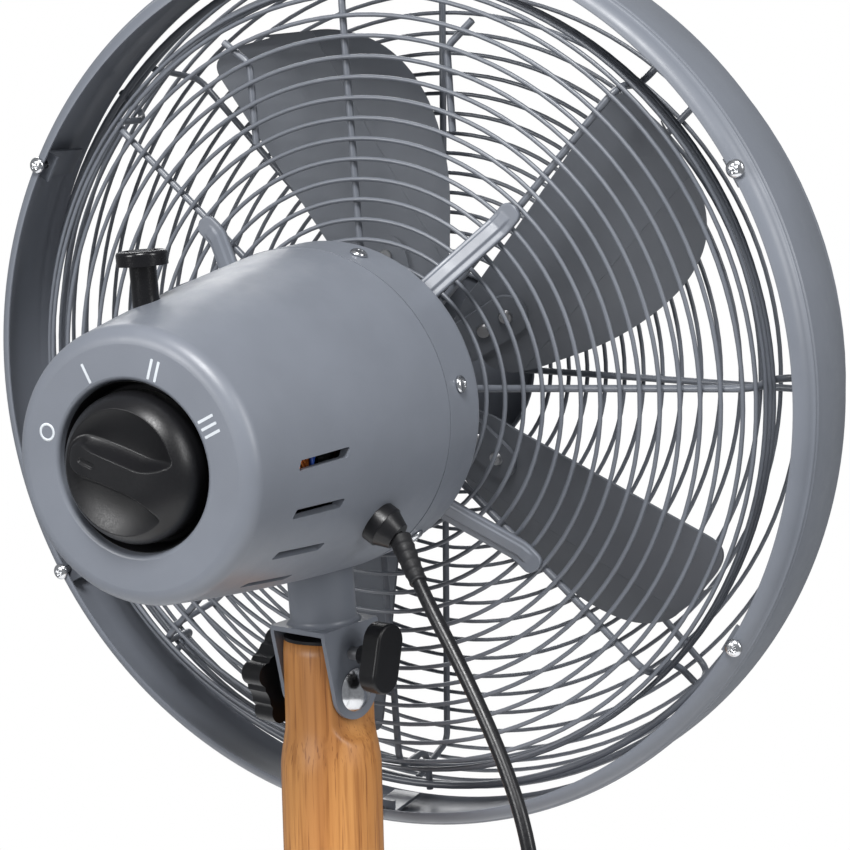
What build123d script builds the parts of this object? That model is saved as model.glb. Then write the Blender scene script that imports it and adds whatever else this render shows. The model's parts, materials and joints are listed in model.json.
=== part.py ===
from build123d import *
import math
import os

# Oscillating fan: a wire cage with a deep sheet band and a conical motor housing, on a turned wooden post.
# Millimetres, +Z up, the floor at z = 0. The parts are drawn about the post's axis, with the fan blowing
# towards -Y, and moved at the end so that the origin is under the middle of the object.

# ---- Driving dimensions ----
bolt_height = 870.0          # tilt bolt axis above the floor
axis_rise = 128.4            # fan axis above the tilt bolt
tilt_rest = 4.0              # the head leans back this far at rest
pan_rest = 15.0              # the head is turned this far to its left at rest

band_radius = 220.0          # outer radius of the cage band
band_front = -100.0          # front edge of the band, measured along the fan axis from the neck
band_rear = -53.7

ring_wire = 1.05             # radius of a ring's wire
rod_wire = 1.7               # radius of a rod's wire
weld = 0.03                  # a ring and the rod under it lie this far apart

rear_plane = -59.0           # plane of the rear grille's rings
rear_pitch = 9.43
rear_first = 43.3
rear_last = 15               # number of rings in the flat of the rear grille
front_plane = -145.0
front_pitch = 9.9
front_first = 48.0
front_last = 16

seam = 3.3                   # joint between the housing and its front cover
cover_front = -28.0
housing_radius = 73.6        # at the seam
tail_radius = 56.8           # at the rear end
tail = 138.0                 # flat rear face
knob_turn = -20.0            # the speed knob's bar points to O

blade_plane = -108.0
blade_pitch = 22.0
blades = 5
blade_start = 29.0

knob_side = -15.0            # oscillation knob, across from the fan axis, seen from behind
knob_back = 96.0             # and behind the neck axis
crank_radius = 12.3
link_pin_radius = 19.0
link_arm = 154.0             # the fixed pin's direction from the neck, seen from above
link_length = 94.0

yoke_width = 35.0
yoke_sheet = 2.3
neck_radius = 15.35
post_top_radius = 20.6
post_radius = 23.4

cord_radius = 3.0
foot_circle = 270.0

os.makedirs("parts", exist_ok=True)

# ---- Frames ----
yoke_place = Location((0, 0, bolt_height), (-tilt_rest, 0, 0))
head_place = yoke_place * Location((0, 0, axis_rise), (0, 0, pan_rest))


def in_yoke(plane):
    """A plane given in the yoke's own frame, whose origin is on the tilt bolt."""
    return Plane(yoke_place * plane.location)


def in_head(plane):
    """A plane given in the head's own frame, whose origin is on the fan axis above the neck."""
    return Plane(head_place * plane.location)


def station(back):
    """A plane across the fan axis that faces the rear, so a sketch on it is as seen from behind."""
    return in_head(Plane(origin=(0, back, 0), x_dir=(-1, 0, 0), z_dir=(0, 1, 0)))


def spoke(angle, across=0.0):
    """A plane that holds the fan axis: x runs to the rear, y runs outward at this angle from behind."""
    a = math.radians(angle)
    out = Vector(-math.cos(a), 0, math.sin(a))
    back = Vector(0, 1, 0)
    normal = back.cross(out)
    return in_head(Plane(origin=normal * across, x_dir=back, z_dir=normal))


def outward(angle, back, reach):
    """A plane square to a radius of the head, at this distance from the fan axis, facing outward."""
    a = math.radians(angle)
    out = Vector(-math.cos(a), 0, math.sin(a))
    return in_head(Plane(origin=out * reach + Vector(0, back, 0), x_dir=(0, 1, 0), z_dir=out))


def above(side, back, height):
    """A level plane of the head, by its place from behind."""
    return in_head(Plane(origin=(-side, back, height), x_dir=(1, 0, 0), z_dir=(0, 0, 1)))


def beside(across, front, height):
    """A plane of the yoke that faces sideways (+X)."""
    return in_yoke(Plane(origin=(across, front, height), x_dir=(0, 1, 0), z_dir=(1, 0, 0)))


side_plane = in_head(Plane.YZ)
fan_axis = Axis(side_plane.origin, side_plane.x_dir)


pieces = {}


def save(item, name):
    """Label a finished piece. All of them are written at the end, once the footprint is known."""
    item.part.label = name
    pieces[name] = item.part


# =====================================================================================
# Stand
# =====================================================================================
hub_top = 420.0
hub_bottom = 330.0
post_bottom = 352.0
post_crown = bolt_height + 22.5

# Turned post: slim above, an S-shaped swell, then full size down to the hub
with BuildPart() as post:
    with BuildSketch(Plane.XZ):
        with BuildLine():
            foot = Line((0, post_bottom), (post_radius, post_bottom))
            side = Line(foot @ 1, (post_radius, bolt_height - 37))
            swell = Spline(side @ 1, (post_top_radius, bolt_height - 17), tangents=[(0, 1), (0, 1)])
            shank = Line(swell @ 1, (post_top_radius, post_crown))
            crown = Line(shank @ 1, (0, post_crown))
            Line(crown @ 1, foot @ 0)
        make_face()
    revolve(axis=Axis.Z)
    # Two flats that the yoke's ears lie against
    for way in (1, -1):
        with BuildSketch(Plane(origin=(way * 14.85, 0, bolt_height), x_dir=(0, 1, 0), z_dir=(way, 0, 0))):
            with Locations((0, 6.3)):
                RectangleRounded(44, 42.6, 14)
        extrude(amount=9, mode=Mode.SUBTRACT)
        with BuildSketch(Plane(origin=(way * 14.85, 0, bolt_height + 14), x_dir=(0, 1, 0), z_dir=(way, 0, 0))):
            Rectangle(44, 28)
        extrude(amount=9, mode=Mode.SUBTRACT)
    with BuildSketch(Plane.YZ.offset(-30)):
        with Locations((0, bolt_height)):
            Circle(4.3)
    extrude(amount=60, mode=Mode.SUBTRACT)
    with BuildSketch(Plane.XY.offset(post_bottom)):
        Circle(4.1)
    extrude(amount=36, mode=Mode.SUBTRACT)
save(post, "post")

# Black disc that closes the end grain
with BuildPart() as post_cap:
    with BuildSketch(Plane.XY.offset(post_crown)):
        Circle(post_top_radius - 0.2)
        Rectangle(29.4, 60, mode=Mode.INTERSECT)
    extrude(amount=1.5)
save(post_cap, "post_cap")

# Cast hub: a cup for the post and three cheeks for the legs
leg_angles = [90.0, 210.0, 330.0]
leg_root = 33.0              # where a leg's centre line starts, out from the post and above the floor
leg_top = 357.0
leg_drop = math.degrees(math.atan2(leg_top - 7.0, foot_circle - leg_root))
def leg_frame(angle):
    """A leg's outward, sideways and downhill directions."""
    a = math.radians(angle)
    run = math.radians(leg_drop)
    out = Vector(math.cos(a), math.sin(a), 0)
    along = out * math.cos(run) - Vector(0, 0, 1) * math.sin(run)
    return out, Vector(0, 0, 1).cross(out), along


with BuildPart() as base_hub:
    with BuildSketch(Plane.XY.offset(hub_bottom)):
        Circle(34)
    extrude(amount=hub_top - hub_bottom, taper=3)
    fillet(base_hub.edges().group_by(Axis.Z)[-1], 3)
    for angle in leg_angles:
        out, sideways, along = leg_frame(angle)
        with BuildSketch(Plane(origin=out * 24 + Vector(0, 0, hub_bottom), x_dir=out, z_dir=(0, 0, 1))):
            with Locations((14, 0)):
                RectangleRounded(36, 34, 4)
        extrude(amount=40)
    with BuildSketch(Plane.XY.offset(post_bottom)):
        Circle(post_radius + 0.05)
    extrude(amount=80, mode=Mode.SUBTRACT)
    with BuildSketch(Plane.XY.offset(hub_bottom)):
        Circle(4.3)
    extrude(amount=40, mode=Mode.SUBTRACT)
    for angle in leg_angles:
        out, sideways, along = leg_frame(angle)
        start = out * leg_root + Vector(0, 0, leg_top)
        with BuildSketch(Plane(origin=start - along, x_dir=sideways, z_dir=along)):
            Rectangle(24.1, 24.1)
        extrude(amount=90, mode=Mode.SUBTRACT)
        middle = out * 45 + Vector(0, 0, 344)
        with BuildSketch(Plane(origin=middle - sideways * 18, x_dir=out, z_dir=sideways)):
            Circle(3.15)
        extrude(amount=36, mode=Mode.SUBTRACT)
save(base_hub, "base_hub")

# Three splayed wooden legs, tapering to rubber feet
foot_places = []
for number, angle in enumerate(leg_angles):
    out, sideways, along = leg_frame(angle)
    start = out * leg_root + Vector(0, 0, leg_top)
    length = (leg_top - 7.0) / math.sin(math.radians(leg_drop))
    tip = start + along * length
    foot_places.append((tip.X, tip.Y))
    with BuildPart() as leg:
        with BuildSketch(Plane(origin=start, x_dir=sideways, z_dir=along)):
            Rectangle(24, 24)
        extrude(amount=60)
        with BuildSketch(Plane(origin=start + along * 60, x_dir=sideways, z_dir=along)):
            RectangleRounded(23.9, 23.9, 5)
        with BuildSketch(Plane(origin=start + along * (length + 16), x_dir=sideways, z_dir=along)):
            RectangleRounded(17, 17, 5)
        loft(ruled=True)
        with BuildSketch(Plane.XY.offset(6.0)):
            with Locations(foot_places[-1]):
                Rectangle(120, 120)
        extrude(amount=-60, mode=Mode.SUBTRACT)
        with BuildSketch(Plane(origin=out * 45 - sideways * 20 + Vector(0, 0, 344), x_dir=out, z_dir=sideways)):
            Circle(3.15)
        extrude(amount=40, mode=Mode.SUBTRACT)
    save(leg, ["leg_rear", "leg_front_left", "leg_front_right"][number])

# Barrel bolts that hold each leg between the hub's cheeks
with BuildPart() as leg_bolts:
    for angle in leg_angles:
        out, sideways, along = leg_frame(angle)
        middle = out * 45 + Vector(0, 0, 344)
        with BuildSketch(Plane(origin=middle - sideways * 17.05, x_dir=out, z_dir=sideways)):
            Circle(3.1)
        extrude(amount=34.1)
        for way in (1, -1):
            with BuildSketch(Plane(origin=middle + sideways * 17.05 * way, x_dir=out, z_dir=sideways * way)):
                Circle(5.5)
            extrude(amount=2.4)
save(leg_bolts, "leg_bolts")

# Rubber feet
with BuildPart() as feet:
    with BuildSketch(Plane.XY):
        with Locations(*foot_places):
            Circle(14)
    extrude(amount=5.9)
save(feet, "feet")

# Bolt that draws the post down into the hub
with BuildPart() as hub_bolt:
    with BuildSketch(Plane.XY.offset(hub_bottom - 5)):
        RegularPolygon(7.4, 6)
    extrude(amount=5)
    with BuildSketch(Plane.XY.offset(hub_bottom)):
        Circle(4.0)
    extrude(amount=52)
save(hub_bolt, "hub_bolt")

# =====================================================================================
# Yoke: a folded fork with the neck on top, tilting on a carriage bolt
# =====================================================================================
plate_top = 30.4             # top face of the yoke's plate above the bolt
neck_top = axis_rise - 60.0  # the neck's upper end, inside the housing
half = yoke_width / 2

with BuildPart() as yoke:
    with BuildSketch(in_yoke(Plane.XY.offset(plate_top - yoke_sheet))):
        RectangleRounded(yoke_width, yoke_width, 1.2)
    extrude(amount=yoke_sheet)
    for way in (1, -1):
        with BuildSketch(beside(way * half, 0, 0)):
            with BuildLine():
                Polyline((-13.7, 0), (-half, plate_top - 4), (-half, plate_top - 0.6))
                Line((-half, plate_top - 0.6), (half, plate_top - 0.6))
                Polyline((half, plate_top - 0.6), (half, plate_top - 4), (13.7, 0))
                ThreePointArc((13.7, 0), (0, -13.7), (-13.7, 0))
            make_face()
        extrude(amount=-way * yoke_sheet)
    with BuildSketch(beside(-half - 1, 0, 0)):
        Circle(4.05)
    extrude(amount=yoke_width + 2, mode=Mode.SUBTRACT)
    with BuildSketch(in_yoke(Plane.XZ)):
        with BuildLine():
            Line((0, plate_top - 0.01), (17.4, plate_top - 0.01))
            Line((17.4, plate_top - 0.01), (17.4, plate_top + 0.2))
            ThreePointArc((17.4, plate_top + 0.2), (15.95, plate_top + 0.9), (neck_radius, plate_top + 2.4))
            Line((neck_radius, plate_top + 2.4), (neck_radius, neck_top))
            Line((neck_radius, neck_top), (8, neck_top))
            Line((8, neck_top), (8, neck_top + 13.5))
            Line((8, neck_top + 13.5), (0, neck_top + 13.5))
            Line((0, neck_top + 13.5), (0, plate_top - 0.01))
        make_face()
    revolve(axis=Axis(in_yoke(Plane.XY).origin, in_yoke(Plane.XY).z_dir))
    with BuildSketch(in_yoke(Plane.XY.offset(plate_top - yoke_sheet - 1))):
        Circle(4.5)
    extrude(amount=80, mode=Mode.SUBTRACT)
    # Tapped hole for the tilt lock's screw, on the right from behind
    with BuildSketch(beside(-half - 1, 1.0, 17.5)):
        Circle(3.05)
    extrude(amount=5, mode=Mode.SUBTRACT)
save(yoke, "yoke")

# Carriage bolt, its dome on the right from behind
with BuildPart() as tilt_bolt:
    with BuildSketch(in_yoke(Plane.XZ)):
        with BuildLine():
            Line((-half - 0.05, 0), (-half - 0.05, 10))
            Line((-half - 0.05, 10), (-half - 0.4, 10))
            TangentArc((-half - 4.7, 0), (-half - 0.4, 10), tangent=(0, 1))
            Line((-half - 4.7, 0), (-half - 0.05, 0))
        make_face()
    revolve(axis=Axis(in_yoke(Plane.XZ).origin, in_yoke(Plane.XZ).x_dir))
    with BuildSketch(beside(-half - 1, 0, 0)):
        Circle(4.0)
    extrude(amount=yoke_width + 15.5)
save(tilt_bolt, "tilt_bolt")

# Nylon washers between the ears and the post
with BuildPart() as tilt_washers:
    for way in (1, -1):
        with BuildSketch(beside(way * (half - yoke_sheet), 0, 0)):
            Circle(9)
            Circle(4.1, mode=Mode.SUBTRACT)
        extrude(amount=-way * 0.28)
save(tilt_washers, "tilt_washers")

# Arm on the neck's end, with the fixed pin of the oscillating link
with BuildPart() as link_pin:
    with BuildSketch(in_yoke(Plane.XY.offset(neck_top))):
        Circle(neck_radius)
        with PolarLocations(14, 1, link_arm):
            RectangleRounded(16, 8, 2)
        Circle(8.05, mode=Mode.SUBTRACT)
    extrude(amount=1.6)
    with BuildSketch(in_yoke(Plane.XY.offset(neck_top + 1.6))):
        with PolarLocations(link_pin_radius, 1, link_arm):
            Circle(2)
    extrude(amount=14.3)
save(link_pin, "link_pin")

# Lobed clamp knob on the bolt's threaded end, on the left from behind
with BuildPart() as clamp_knob:
    with BuildSketch(beside(half + 5.6, 0, 0)):
        Circle(18.5)
        with PolarLocations(17.0, 5, 90):
            Circle(5.6)
        with PolarLocations(26.5, 5, 54):
            Circle(9.0, mode=Mode.SUBTRACT)
    extrude(amount=13)
    fillet(clamp_knob.faces().sort_by(Axis.X)[-1].edges(), 1.6)
    with BuildSketch(beside(half + 0.3, 0, 0)):
        Circle(9.5)
    extrude(amount=5.4)
    with BuildSketch(beside(half, 0, 0)):
        Circle(7.2)
    extrude(amount=15.2, mode=Mode.SUBTRACT)
save(clamp_knob, "clamp_knob")

# Brass nut moulded into the knob
with BuildPart() as clamp_nut:
    with BuildSketch(beside(half + 0.3, 0, 0)):
        Circle(7.19)
        Circle(4.04, mode=Mode.SUBTRACT)
    extrude(amount=14.8)
save(clamp_nut, "clamp_nut")

# Tilt lock: a wing knob on a screw through the right ear
with BuildPart() as lock_knob:
    with BuildSketch(beside(-half - 13.5, 1.0, 17.5)):
        SlotOverall(32, 16.5, rotation=107)
    extrude(amount=-9.5)
    fillet(lock_knob.faces().sort_by(Axis.X)[0].edges(), 1.4)
    with BuildSketch(beside(-half - 13.5, 1.0, 17.5)):
        Circle(6.0)
    extrude(amount=7.0, taper=12)
    with BuildSketch(beside(-half - 1, 1.0, 17.5)):
        Circle(3.02)
    extrude(amount=-19, mode=Mode.SUBTRACT)
save(lock_knob, "lock_knob")

with BuildPart() as lock_screw:
    with BuildSketch(beside(-half + 2.5, 1.0, 17.5)):
        Circle(3.0)
    extrude(amount=-21.4)
save(lock_screw, "lock_screw")

# =====================================================================================
# Housing
# =====================================================================================
gland_angle = -35.5
gland_back = 43.6
slot_back = 94.5
slot_angles = [-3.0, -22.3, -41.6, -61.0]

with BuildPart() as motor_housing:
    with BuildSketch(side_plane):
        with BuildLine():
            Line((seam, housing_radius), (seam, 71.3))
            Line((seam, 71.3), (-16, 71.3))
            Line((-16, 71.3), (-16, 69.6))
            Line((-16, 69.6), (8, 69.6))
            Line((8, 69.6), (129.0, 54.4))
            ThreePointArc((129.0, 54.4), (133.8, 52.2), (135.7, 48.6))
            Line((135.7, 48.6), (135.7, 38.6))
            Polyline((135.7, 38.6), (124.8, 36.0), (124.8, 5.2), (127.0, 5.2), (127.0, 33.4), (136.0, 35.0))
            ThreePointArc((tail - 2, 35.0), (tail - 0.6, 35.6), (tail, 36.8))
            Line((tail, 36.8), (tail, 49.4))
            ThreePointArc((tail, 49.4), (tail - 2, 54.4), (tail - 7, tail_radius))
            ThreePointArc((131.0, tail_radius), (67, 66.4), (seam, housing_radius))
        make_face()
    revolve(axis=fan_axis)
    # Opening for the neck
    with BuildSketch(above(0, 0, -85)):
        Circle(16.1)
    extrude(amount=35, mode=Mode.SUBTRACT)
    # Cooling slots on both sides
    for angle in slot_angles + [180 - s for s in slot_angles]:
        with BuildSketch(outward(angle, slot_back, 50)):
            with BuildLine():
                FilletPolyline((-16.6, -2.1), (14.8, -2.1), (16.6, 2.1), (-14.8, 2.1), close=True, radius=0.9)
            make_face()
        extrude(amount=25, mode=Mode.SUBTRACT)
    # Hole for the cord gland
    with BuildSketch(outward(gland_angle, gland_back, 55)):
        Circle(6.5)
    extrude(amount=25, mode=Mode.SUBTRACT)
    # Hole for the oscillation knob
    with BuildSketch(above(knob_side, knob_back, 40)):
        Circle(6.1)
    extrude(amount=30, mode=Mode.SUBTRACT)
    # Holes for the cover's screws
    for angle in range(8, 368, 60):
        with BuildSketch(outward(angle, -9, 60)):
            Circle(2.0)
        extrude(amount=12, mode=Mode.SUBTRACT)
save(motor_housing, "motor_housing")

with BuildPart() as housing_cover:
    with BuildSketch(side_plane):
        with BuildLine():
            Polyline((seam - 0.4, 71.7), (seam - 0.4, 73.8), (-24, 74.2))
            ThreePointArc((-24, 74.2), (-26.9, 73.0), (-28, 70.2))
            Polyline((-28, 70.2), (-28, 14), (-26, 14), (-26, 69.6))
            ThreePointArc((-26, 69.6), (-25.5, 71.2), (-23.8, 71.7))
            Line((-23.8, 71.7), (seam - 0.4, 71.7))
        make_face()
    revolve(axis=fan_axis)
    with BuildSketch(above(0, 0, -85)):
        Circle(16.1)
    extrude(amount=35, mode=Mode.SUBTRACT)
    for angle in range(8, 368, 60):
        with BuildSketch(outward(angle, -9, 66)):
            Circle(2.0)
        extrude(amount=12, mode=Mode.SUBTRACT)
save(housing_cover, "housing_cover")

with BuildPart() as cover_screws:
    for angle in range(8, 368, 60):
        with BuildSketch(outward(angle, -9, 67)):
            Circle(1.95)
        extrude(amount=7.1)
        with BuildSketch(outward(angle, -9, 74.05)):
            Circle(4.0)
        extrude(amount=2.4, taper=14)
save(cover_screws, "cover_screws")

# Domed gland for the cord
with BuildPart() as cord_gland:
    with BuildSketch(outward(gland_angle, gland_back, 62)):
        Circle(6.4)
    extrude(amount=7.4)
    with BuildSketch(outward(gland_angle, gland_back, 67.5)):
        Circle(9.4)
    extrude(amount=6.0)
    with BuildSketch(outward(gland_angle, gland_back, 73.5)):
        Circle(9.0)
    extrude(amount=6.5, taper=24)
    with BuildSketch(outward(gland_angle, gland_back, 60)):
        Circle(3.05)
    extrude(amount=25, mode=Mode.SUBTRACT)
    add(motor_housing.part, mode=Mode.SUBTRACT)
save(cord_gland, "cord_gland")

# =====================================================================================
# Controls
# =====================================================================================
# Speed knob: a skirt with a grip bar across it
with BuildPart() as speed_knob:
    with BuildSketch(station(128.0)):
        Circle(30.2)
    extrude(amount=8, taper=2)
    with BuildSketch(station(136.0)):
        Circle(29.6)
    extrude(amount=15, taper=14)
    fillet(speed_knob.edges().sort_by(Axis(side_plane.origin, side_plane.x_dir))[-1], 3)
    # Two scooped hollows leave the bar
    for way in (1, -1):
        with BuildSketch(station(137.5).rotated((0, 0, knob_turn))):
            with BuildLine():
                FilletPolyline(
                    (-40, way * 5.5), (-20, way * 6.4), (26, way * 11.5), (40, way * 13.5),
                    (40, way * 45), (-40, way * 45), close=True, radius=1.5,
                )
            make_face()
        extrude(amount=20, mode=Mode.SUBTRACT)
    with BuildSketch(station(150.2).rotated((0, 0, knob_turn))):
        with Locations((-17.5, 0)):
            SlotOverall(8, 1.6)
    extrude(amount=1.2, mode=Mode.SUBTRACT)
    with BuildSketch(station(128.0)):
        Circle(3.52)
    extrude(amount=12, mode=Mode.SUBTRACT)
save(speed_knob, "speed_knob")

with BuildPart() as switch_spindle:
    with BuildSketch(station(113.5)):
        Circle(3.5)
    extrude(amount=26.3)
save(switch_spindle, "switch_spindle")

# Rotary speed switch behind the dial
with BuildPart() as speed_switch:
    with BuildSketch(station(112.5)):
        RectangleRounded(34, 30, 4)
    extrude(amount=9.8)
    with BuildSketch(station(122.3)):
        Circle(8)
    extrude(amount=2.4)
    with BuildSketch(station(113.4)):
        Circle(3.56)
    extrude(amount=14, mode=Mode.SUBTRACT)
save(speed_switch, "speed_switch")

# Oscillation knob: a mushroom cap on a sleeve, pulled up
with BuildPart() as oscillation_knob:
    with BuildSketch(above(knob_side, knob_back, 52)):
        Circle(5.6)
    extrude(amount=24)
    with BuildSketch(above(knob_side, knob_back, 76)):
        Circle(10.6)
    extrude(amount=6)
    fillet(oscillation_knob.faces().sort_by(Axis(in_head(Plane.XY).origin, in_head(Plane.XY).z_dir))[-1].edges(), 1.6)
    with BuildSketch(above(knob_side, knob_back, 81.3)):
        Circle(7)
        Circle(5.2, mode=Mode.SUBTRACT)
    extrude(amount=2, mode=Mode.SUBTRACT)
    with BuildSketch(above(knob_side, knob_back, 50)):
        Circle(2.52)
    extrude(amount=18, mode=Mode.SUBTRACT)
save(oscillation_knob, "oscillation_knob")

with BuildPart() as clutch_rod:
    with BuildSketch(above(knob_side, knob_back, 1.0)):
        Circle(2.5)
    extrude(amount=66.8)
    with BuildSketch(above(knob_side, knob_back, 12.3)):
        Circle(5.4)
    extrude(amount=3)
save(clutch_rod, "clutch_rod")

# =====================================================================================
# Motor and gearbox
# =====================================================================================
with BuildPart() as stator_core:
    with BuildSketch(station(4)):
        Circle(40)
        Circle(23, mode=Mode.SUBTRACT)
        with PolarLocations(28.5, 12, 15):
            Rectangle(7, 6, mode=Mode.SUBTRACT)
    extrude(amount=28)
save(stator_core, "stator_core")

with BuildPart() as stator_windings:
    for back in (-7.0, 32.2):
        with BuildSketch(station(back)):
            Circle(35)
            Circle(24.4, mode=Mode.SUBTRACT)
        extrude(amount=10.8)
    fillet(stator_windings.edges().filter_by(GeomType.CIRCLE), 2.5)
save(stator_windings, "stator_windings")

# Front bell with the socket that turns on the neck
with BuildPart() as motor_frame:
    with BuildSketch(station(-18)):
        Circle(43)
    extrude(amount=3)
    with BuildSketch(station(-25)):
        Circle(13)
    extrude(amount=10)
    for angle in (30, 150):
        with BuildSketch(station(-15)):
            with PolarLocations(41.5, 1, angle):
                Rectangle(2.6, 16)
        extrude(amount=26)
    with BuildSketch(station(-18)):
        with Locations((0, -46)):
            Rectangle(20, 24)
    extrude(amount=3)
    with BuildSketch(above(0, 0, -57.6)):
        Circle(15.5)
        with Locations((0, -11)):
            Rectangle(20, 14)
    extrude(amount=13.4)
    with BuildSketch(above(0, 0, -58)):
        Circle(11.0)
    extrude(amount=15, mode=Mode.SUBTRACT)
    with BuildSketch(station(-26)):
        Circle(7.0)
    extrude(amount=14, mode=Mode.SUBTRACT)
save(motor_frame, "motor_frame")

with BuildPart() as pan_bushing:
    with BuildSketch(above(0, 0, -57.6)):
        Circle(10.97)
        Circle(8.05, mode=Mode.SUBTRACT)
    extrude(amount=12)
save(pan_bushing, "pan_bushing")

with BuildPart() as rear_bell:
    with BuildSketch(station(45)):
        Circle(39.9)
    extrude(amount=3)
    with BuildSketch(station(48)):
        Circle(12)
    extrude(amount=8)
    for angle in (30, 150, 90):
        with BuildSketch(station(33)):
            with PolarLocations(38.5, 1, angle):
                Rectangle(2.6, 14)
        extrude(amount=12)
    with BuildSketch(station(44)):
        Circle(7.0)
    extrude(amount=14, mode=Mode.SUBTRACT)
save(rear_bell, "rear_bell")

with BuildPart() as shaft_bearings:
    for back in (-25, 48):
        with BuildSketch(station(back)):
            Circle(6.97)
            Circle(4.03, mode=Mode.SUBTRACT)
        extrude(amount=8)
save(shaft_bearings, "shaft_bearings")

# Gearbox case, open for the worm, the wheel and the knob's rod
with BuildPart() as gearbox:
    with BuildSketch(station(56.2)):
        with Locations((-9, 0)):
            RectangleRounded(52, 44, 5)
    extrude(amount=55.2)
    with BuildSketch(station(60)):
        with Locations((-9, 0)):
            RectangleRounded(46, 38, 3)
    extrude(amount=48, mode=Mode.SUBTRACT)
    with BuildSketch(station(56)):
        Circle(4.06)
    extrude(amount=6, mode=Mode.SUBTRACT)
    with BuildSketch(above(knob_side, knob_back, 15)):
        Circle(2.56)
    extrude(amount=12, mode=Mode.SUBTRACT)
    with BuildSketch(above(knob_side, knob_back, -26)):
        Circle(4.06)
    extrude(amount=12, mode=Mode.SUBTRACT)
save(gearbox, "gearbox")

with BuildPart() as capacitor:
    with BuildSketch(station(62)):
        with Locations((32, -2)):
            RectangleRounded(16, 30, 2)
    extrude(amount=38)
save(capacitor, "capacitor")

# Rotor
with BuildPart() as motor_shaft:
    with BuildSketch(station(-122)):
        Circle(4.0)
    extrude(amount=228)
save(motor_shaft, "motor_shaft")

with BuildPart() as rotor_core:
    with BuildSketch(station(3)):
        Circle(22.4)
        Circle(4.04, mode=Mode.SUBTRACT)
    extrude(amount=30)
save(rotor_core, "rotor_core")

with BuildPart() as worm:
    with BuildSketch(station(86)):
        Circle(5.0)
        Circle(4.04, mode=Mode.SUBTRACT)
    extrude(amount=20)
save(worm, "worm")

# Worm wheel with the clutch hub that the rod drops into
with BuildPart() as worm_wheel:
    with BuildSketch(above(knob_side, knob_back, -4)):
        Circle(9.6)
        Circle(2.9, mode=Mode.SUBTRACT)
    extrude(amount=8)
save(worm_wheel, "worm_wheel")

# Crank under the gearbox, and the link from its pin to the fixed pin on the neck
turn = math.radians(link_arm - pan_rest)
fixed_x = link_pin_radius * math.cos(turn)
fixed_y = link_pin_radius * math.sin(turn)
reach_x = -knob_side - fixed_x
reach_y = knob_back - fixed_y
reach = math.hypot(reach_x, reach_y)
lean = (link_length**2 - reach**2 - crank_radius**2) / (2 * reach * crank_radius)
crank_angle = math.atan2(reach_y, reach_x) - math.acos(lean)
pin_x = -knob_side + crank_radius * math.cos(crank_angle)
pin_y = knob_back + crank_radius * math.sin(crank_angle)
print("crank angle", round(math.degrees(crank_angle), 2), "crank pin", round(pin_x, 2), round(pin_y, 2))

with BuildPart() as crank:
    with BuildSketch(above(knob_side, knob_back, -37)):
        Circle(16)
    extrude(amount=4)
    with BuildSketch(above(knob_side, knob_back, -33)):
        Circle(4.0)
    extrude(amount=26)
    with BuildSketch(above(-pin_x, pin_y, -44.4)):
        Circle(2.5)
    extrude(amount=7.4)
save(crank, "crank")

with BuildPart() as drive_link:
    way_x = (fixed_x - pin_x) / link_length
    way_y = (fixed_y - pin_y) / link_length
    link_plane = in_head(Plane(origin=(pin_x, pin_y, -43.4), x_dir=(way_x, way_y, 0), z_dir=(0, 0, 1)))
    with BuildSketch(link_plane):
        with Locations((link_length / 2, 0)):
            SlotOverall(link_length + 10, 10)
        Circle(2.56, mode=Mode.SUBTRACT)
        with Locations((link_length, 0)):
            Circle(2.6, mode=Mode.SUBTRACT)
    extrude(amount=2.4)
save(drive_link, "drive_link")

# =====================================================================================
# Blades
# =====================================================================================
def blade_frame(number, off=0.0):
    """A plane on one blade, x along its radius and tipped to its pitch, this far behind the blade's middle."""
    a = math.radians(blade_start + number * 360.0 / blades)
    out = Vector(-math.cos(a), 0, math.sin(a))
    lead = Vector(math.sin(a), 0, math.cos(a))
    p = math.radians(blade_pitch)
    chord = lead * math.cos(p) + Vector(0, 1, 0) * math.sin(p)
    normal = out.cross(chord)
    return in_head(Plane(origin=Vector(0, blade_plane, 0) + normal * off, x_dir=out, z_dir=normal))


def flap_frame(number):
    """A plane on the part of a blade behind its crease, x along the crease. Its blade side is y < 0."""
    base = blade_frame(number)
    start = base.from_local_coords(Vector(*crease_in, 0))
    along = (base.from_local_coords(Vector(*crease_out, 0)) - start).normalized()
    behind = along.cross(base.z_dir)
    t = math.radians(crease_turn)
    return Plane(origin=start, x_dir=along, z_dir=base.z_dir * math.cos(t) + behind * math.sin(t))


blade_sheet = 1.2
arm_sheet = 2.2
arm_gap = 0.63
crease_in = (47.0, -28.6)
crease_out = (176.5, 8.6)
crease_turn = 8.0
crease_long = math.dist(crease_in, crease_out)

# A spider: a disc with five arms, each tipped as its blade is
with BuildPart() as blade_hub:
    with BuildSketch(station(blade_plane + 1.2)):
        Circle(30)
    extrude(amount=arm_sheet)
    with BuildSketch(station(blade_plane + 3.4)):
        Circle(12)
    extrude(amount=18, taper=4)
    for number in range(blades):
        with BuildSketch(blade_frame(number, arm_gap)):
            with Locations((46, 0)):
                SlotOverall(50, 21)
        extrude(amount=arm_sheet)
    with BuildSketch(station(blade_plane - 10)):
        Circle(4.05)
    extrude(amount=40, mode=Mode.SUBTRACT)
save(blade_hub, "blade_hub")

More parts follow.
